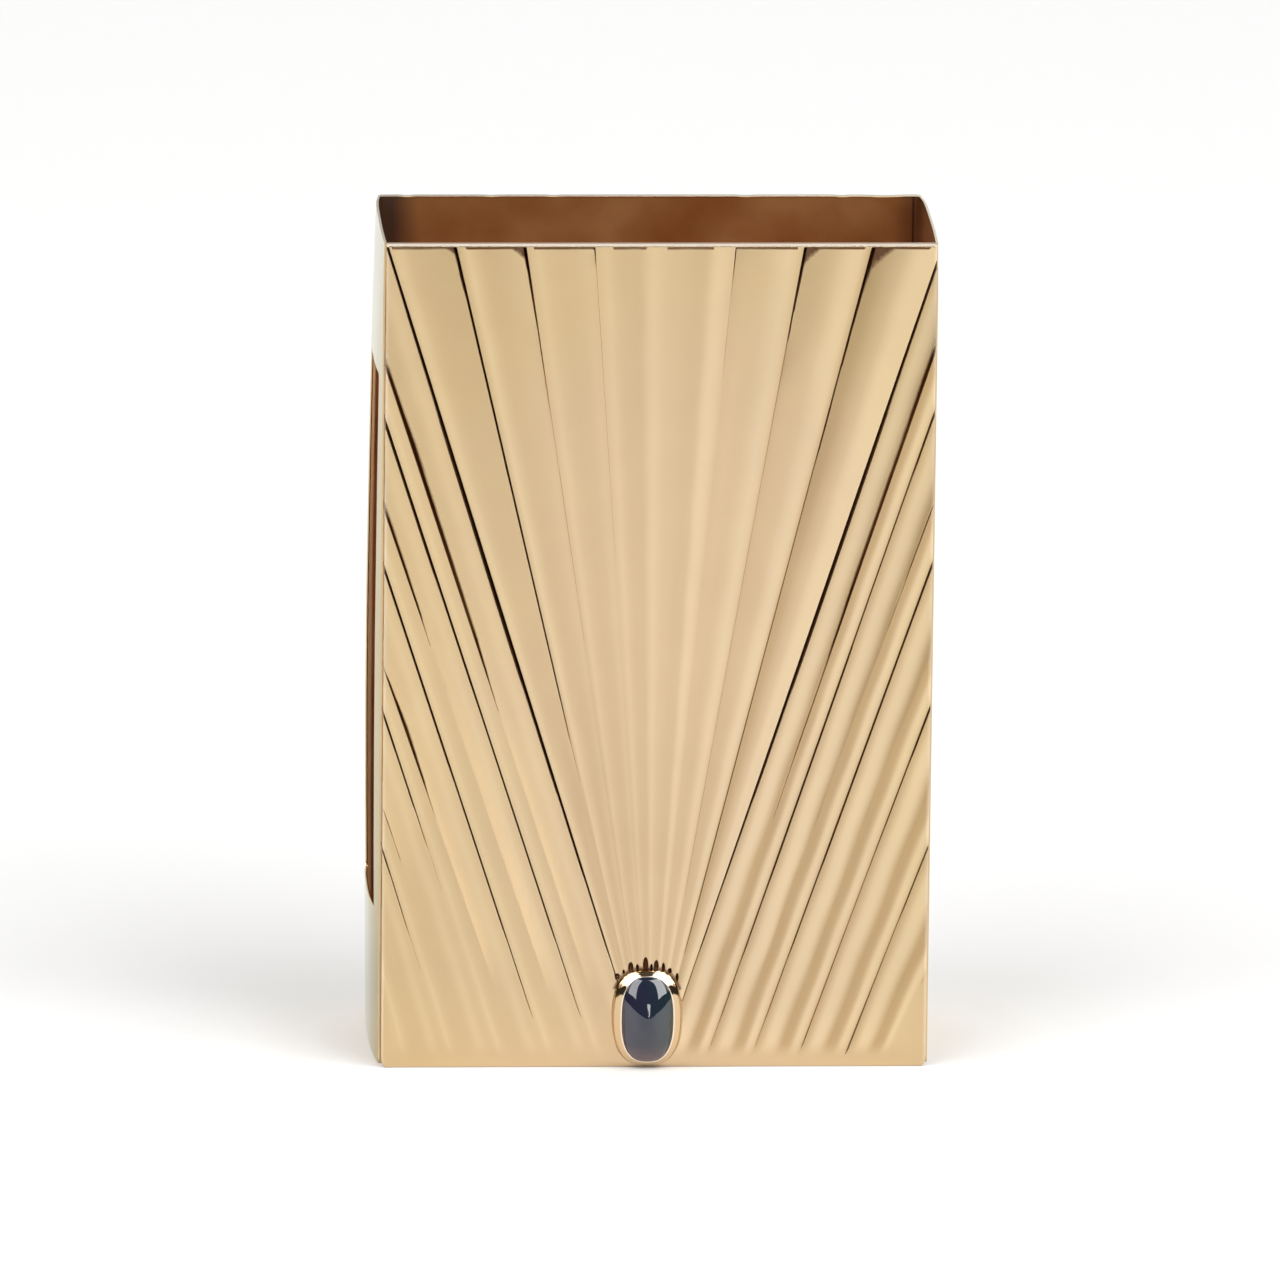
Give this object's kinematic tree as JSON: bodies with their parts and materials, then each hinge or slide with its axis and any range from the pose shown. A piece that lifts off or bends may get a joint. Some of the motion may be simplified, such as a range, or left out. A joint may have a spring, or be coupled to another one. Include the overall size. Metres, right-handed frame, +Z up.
{
  "type": "matchbox holder",
  "caption": "Open-topped rectangular metal sleeve for a matchbox, with a fluted sunray front, an oval cabochon in a collet and striker windows in both sides.",
  "frame": {"origin": "middle of the sleeve's flat underside, halfway between the fluted front face and the back face", "axes": "+Z up to the open mouth, -Y out of the fluted front, +X to the right of someone looking at the front"},
  "size_m": [0.0402, 0.0198, 0.06],
  "materials": {
    "polished_gold": "polished yellow gold, lightly worn",
    "collet_gold": "burnished yellow gold",
    "blue_stone": "polished dark blue cabochon"
  },
  "bodies": {
    "root": {"front_panel": "polished_gold", "back_panel": "polished_gold", "left_side_wall": "polished_gold", "right_side_wall": "polished_gold", "base_plate": "polished_gold", "stone_collet": "collet_gold", "stone_bearer": "collet_gold", "cabochon_stone": "blue_stone"}
  },
  "joints": []
}
